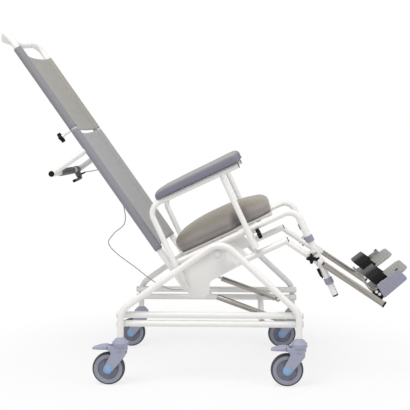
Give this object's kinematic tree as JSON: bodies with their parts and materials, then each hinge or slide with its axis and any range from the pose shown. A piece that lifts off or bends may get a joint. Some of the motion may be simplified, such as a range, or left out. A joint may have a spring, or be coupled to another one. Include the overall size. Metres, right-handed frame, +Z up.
{
  "type": "reclining shower chair",
  "caption": "Tilt-in-space shower chair: white tube frame on braked castors, padded seat, sling back, lift-out armrests, gas-spring tilt and raising leg rests with flip-up footplates.",
  "frame": {"origin": "on the floor, at the centre of the chair's box seen from above", "axes": "+X the way the chair faces, +Y to the sitter's left, +Z up"},
  "size_m": [1.5762, 0.6316, 1.3442],
  "materials": {
    "white_paint": "semi-gloss white powder coat",
    "stainless": "satin stainless",
    "black_plastic": "matt black",
    "grey_plastic": "grey moulded, satin",
    "grey_tyre": "grey rubber tread",
    "seat_vinyl": "grey-brown vinyl cover",
    "sling_fabric": "grey mesh fabric",
    "black_webbing": "black webbing",
    "cable_grey": "grey sheath"
  },
  "bodies": {
    "base": {"base_side_frame_right": "white_paint", "base_side_frame_left": "white_paint", "base_cross_tube": "white_paint", "pivot_bolt_right": "stainless", "pivot_bolt_left": "stainless"},
    "seat": {"seat_side_frame_right": "white_paint", "seat_side_frame_left": "white_paint", "hanger_collar_right": "grey_plastic", "hanger_collar_left": "grey_plastic", "hanger_plug_right": "black_plastic", "hanger_plug_left": "black_plastic", "seat_cross_tube_rear": "white_paint", "seat_cross_tube_front": "white_paint", "seat_board": "grey_plastic", "seat_cushion": "seat_vinyl", "back_frame": "white_paint", "back_sling_lower": "sling_fabric", "back_sling_upper": "sling_fabric", "push_grip": "grey_plastic", "release_housing": "grey_plastic", "release_cable": "cable_grey"},
    "spring_cylinders": {"gas_cylinder_right": "stainless", "gas_cylinder_left": "stainless"},
    "spring_rods": {"gas_rod_right": "stainless", "gas_rod_left": "stainless"},
    "release_lever": {"release_lever": "black_plastic"},
    "fork_front_right": {"castor_fork_front_right": "grey_plastic"},
    "wheel_front_right": {"castor_wheel_front_right": "grey_tyre"},
    "pedal_front_right": {"brake_pedal_front_right": "grey_plastic"},
    "fork_front_left": {"castor_fork_front_left": "grey_plastic"},
    "wheel_front_left": {"castor_wheel_front_left": "grey_tyre"},
    "pedal_front_left": {"brake_pedal_front_left": "grey_plastic"},
    "fork_rear_right": {"castor_fork_rear_right": "grey_plastic"},
    "wheel_rear_right": {"castor_wheel_rear_right": "grey_tyre"},
    "pedal_rear_right": {"brake_pedal_rear_right": "grey_plastic"},
    "fork_rear_left": {"castor_fork_rear_left": "grey_plastic"},
    "wheel_rear_left": {"castor_wheel_rear_left": "grey_tyre"},
    "pedal_rear_left": {"brake_pedal_rear_left": "grey_plastic"},
    "armrest_right": {"armrest_tube_right": "white_paint", "armrest_pad_right": "grey_plastic"},
    "armrest_knob_right": {"armrest_knob_right": "black_plastic"},
    "back_knob_right": {"back_knob_right": "black_plastic"},
    "leg_rest_right": {"foot_arm_right": "stainless", "foot_bracket_right": "grey_plastic"},
    "foot_tray_right": {"footplate_right": "grey_plastic", "foot_strap_right": "black_webbing"},
    "leg_knob_right": {"leg_knob_right": "black_plastic"},
    "leg_latch_right": {"leg_latch_right": "black_plastic"},
    "armrest_left": {"armrest_tube_left": "white_paint", "armrest_pad_left": "grey_plastic"},
    "armrest_knob_left": {"armrest_knob_left": "black_plastic"},
    "back_knob_left": {"back_knob_left": "black_plastic"},
    "leg_rest_left": {"foot_arm_left": "stainless", "foot_bracket_left": "grey_plastic"},
    "foot_tray_left": {"footplate_left": "grey_plastic", "foot_strap_left": "black_webbing"},
    "leg_knob_left": {"leg_knob_left": "black_plastic"},
    "leg_latch_left": {"leg_latch_left": "black_plastic"}
  },
  "joints": [
    {"name": "seat_tilt", "type": "hinge", "parent": "base", "child": "seat", "pos_m": [0.07568, 0, 0.494], "axis": [0, 1, 0], "range_deg": [-4, 25]},
    {"name": "spring_swing", "type": "hinge", "parent": "base", "child": "spring_cylinders", "pos_m": [0.31668, 0, 0.231], "axis": [0, 1, 0], "range_deg": [-0.28, 1.53]},
    {"name": "spring_stroke", "type": "slide", "parent": "spring_cylinders", "child": "spring_rods", "axis": [-0.9397, 0, 0.3419], "range_m": [-0.01303, 0.07277]},
    {"name": "release_lever_squeeze", "type": "hinge", "parent": "seat", "child": "release_lever", "pos_m": [-0.54116, 0.19, 0.75869], "axis": [-0.9063, 0, -0.4226], "range_deg": [0, 9], "stiffness_Nm_per_rad": 0.4, "springref_deg": -17.19},
    {"name": "swivel_front_right", "type": "hinge", "parent": "base", "child": "fork_front_right", "pos_m": [0.38268, -0.285, 0], "axis": [0, 0, 1], "continuous": true},
    {"name": "roll_front_right", "type": "hinge", "parent": "fork_front_right", "child": "wheel_front_right", "pos_m": [0.33768, -0.285, 0.06173], "axis": [0, 1, 0], "continuous": true},
    {"name": "brake_front_right", "type": "hinge", "parent": "fork_front_right", "child": "pedal_front_right", "pos_m": [0.34668, -0.285, 0.141], "axis": [0, -1, 0], "range_deg": [0, 10]},
    {"name": "swivel_front_left", "type": "hinge", "parent": "base", "child": "fork_front_left", "pos_m": [0.38268, 0.285, 0], "axis": [0, 0, 1], "continuous": true},
    {"name": "roll_front_left", "type": "hinge", "parent": "fork_front_left", "child": "wheel_front_left", "pos_m": [0.33768, 0.285, 0.06173], "axis": [0, 1, 0], "continuous": true},
    {"name": "brake_front_left", "type": "hinge", "parent": "fork_front_left", "child": "pedal_front_left", "pos_m": [0.34668, 0.285, 0.141], "axis": [0, -1, 0], "range_deg": [0, 10]},
    {"name": "swivel_rear_right", "type": "hinge", "parent": "base", "child": "fork_rear_right", "pos_m": [-0.29132, -0.285, 0], "axis": [0, 0, 1], "continuous": true},
    {"name": "roll_rear_right", "type": "hinge", "parent": "fork_rear_right", "child": "wheel_rear_right", "pos_m": [-0.33632, -0.285, 0.06173], "axis": [0, 1, 0], "continuous": true},
    {"name": "brake_rear_right", "type": "hinge", "parent": "fork_rear_right", "child": "pedal_rear_right", "pos_m": [-0.32732, -0.285, 0.141], "axis": [0, -1, 0], "range_deg": [0, 10]},
    {"name": "swivel_rear_left", "type": "hinge", "parent": "base", "child": "fork_rear_left", "pos_m": [-0.29132, 0.285, 0], "axis": [0, 0, 1], "continuous": true},
    {"name": "roll_rear_left", "type": "hinge", "parent": "fork_rear_left", "child": "wheel_rear_left", "pos_m": [-0.33632, 0.285, 0.06173], "axis": [0, 1, 0], "continuous": true},
    {"name": "brake_rear_left", "type": "hinge", "parent": "fork_rear_left", "child": "pedal_rear_left", "pos_m": [-0.32732, 0.285, 0.141], "axis": [0, -1, 0], "range_deg": [0, 10]},
    {"name": "armrest_lift_right", "type": "slide", "parent": "seat", "child": "armrest_right", "axis": [-0.4226, 0, 0.9063], "range_m": [0, 0.045]},
    {"name": "armrest_knob_turn_right", "type": "hinge", "parent": "seat", "child": "armrest_knob_right", "pos_m": [0.22407, -0.2521, 0.56833], "axis": [0.9063, 0, 0.4226], "continuous": true},
    {"name": "back_knob_turn_right", "type": "hinge", "parent": "seat", "child": "back_knob_right", "pos_m": [-0.51717, -0.2275, 0.93747], "axis": [-0.8191, 0, -0.5736], "continuous": true},
    {"name": "leg_rest_raise_right", "type": "hinge", "parent": "seat", "child": "leg_rest_right", "pos_m": [0.46189, 0, 0.46555], "axis": [0, -1, 0], "range_deg": [0, 50]},
    {"name": "footplate_flip_right", "type": "hinge", "parent": "leg_rest_right", "child": "foot_tray_right", "pos_m": [0.67395, -0.2635, 0.38116], "axis": [0.788, 0, 0.6157], "range_deg": [0, 90]},
    {"name": "leg_knob_turn_right", "type": "hinge", "parent": "seat", "child": "leg_knob_right", "pos_m": [0.42932, -0.2485, 0.47742], "axis": [0, 1, 0], "continuous": true},
    {"name": "leg_latch_pull_right", "type": "hinge", "parent": "seat", "child": "leg_latch_right", "pos_m": [0.4578, -0.2275, 0.43055], "axis": [0, 1, 0], "range_deg": [0, 20], "stiffness_Nm_per_rad": 0.03, "springref_deg": -11.46},
    {"name": "armrest_lift_left", "type": "slide", "parent": "seat", "child": "armrest_left", "axis": [-0.4226, 0, 0.9063], "range_m": [0, 0.045]},
    {"name": "armrest_knob_turn_left", "type": "hinge", "parent": "seat", "child": "armrest_knob_left", "pos_m": [0.22407, 0.2521, 0.56833], "axis": [0.9063, 0, 0.4226], "continuous": true},
    {"name": "back_knob_turn_left", "type": "hinge", "parent": "seat", "child": "back_knob_left", "pos_m": [-0.51717, 0.2275, 0.93747], "axis": [-0.8191, 0, -0.5736], "continuous": true},
    {"name": "leg_rest_raise_left", "type": "hinge", "parent": "seat", "child": "leg_rest_left", "pos_m": [0.46189, 0, 0.46555], "axis": [0, -1, 0], "range_deg": [0, 50]},
    {"name": "footplate_flip_left", "type": "hinge", "parent": "leg_rest_left", "child": "foot_tray_left", "pos_m": [0.67395, 0.2635, 0.38116], "axis": [-0.788, 0, -0.6157], "range_deg": [0, 90]},
    {"name": "leg_knob_turn_left", "type": "hinge", "parent": "seat", "child": "leg_knob_left", "pos_m": [0.42932, 0.2485, 0.47742], "axis": [0, 1, 0], "continuous": true},
    {"name": "leg_latch_pull_left", "type": "hinge", "parent": "seat", "child": "leg_latch_left", "pos_m": [0.4578, 0.2275, 0.43055], "axis": [0, 1, 0], "range_deg": [0, 20], "stiffness_Nm_per_rad": 0.03, "springref_deg": -11.46}
  ],
  "couplings": [
    {"joint": "spring_swing", "follows": "seat_tilt", "ratio": 0.06},
    {"joint": "spring_stroke", "follows": "seat_tilt", "m_per_rad": 0.163}
  ]
}
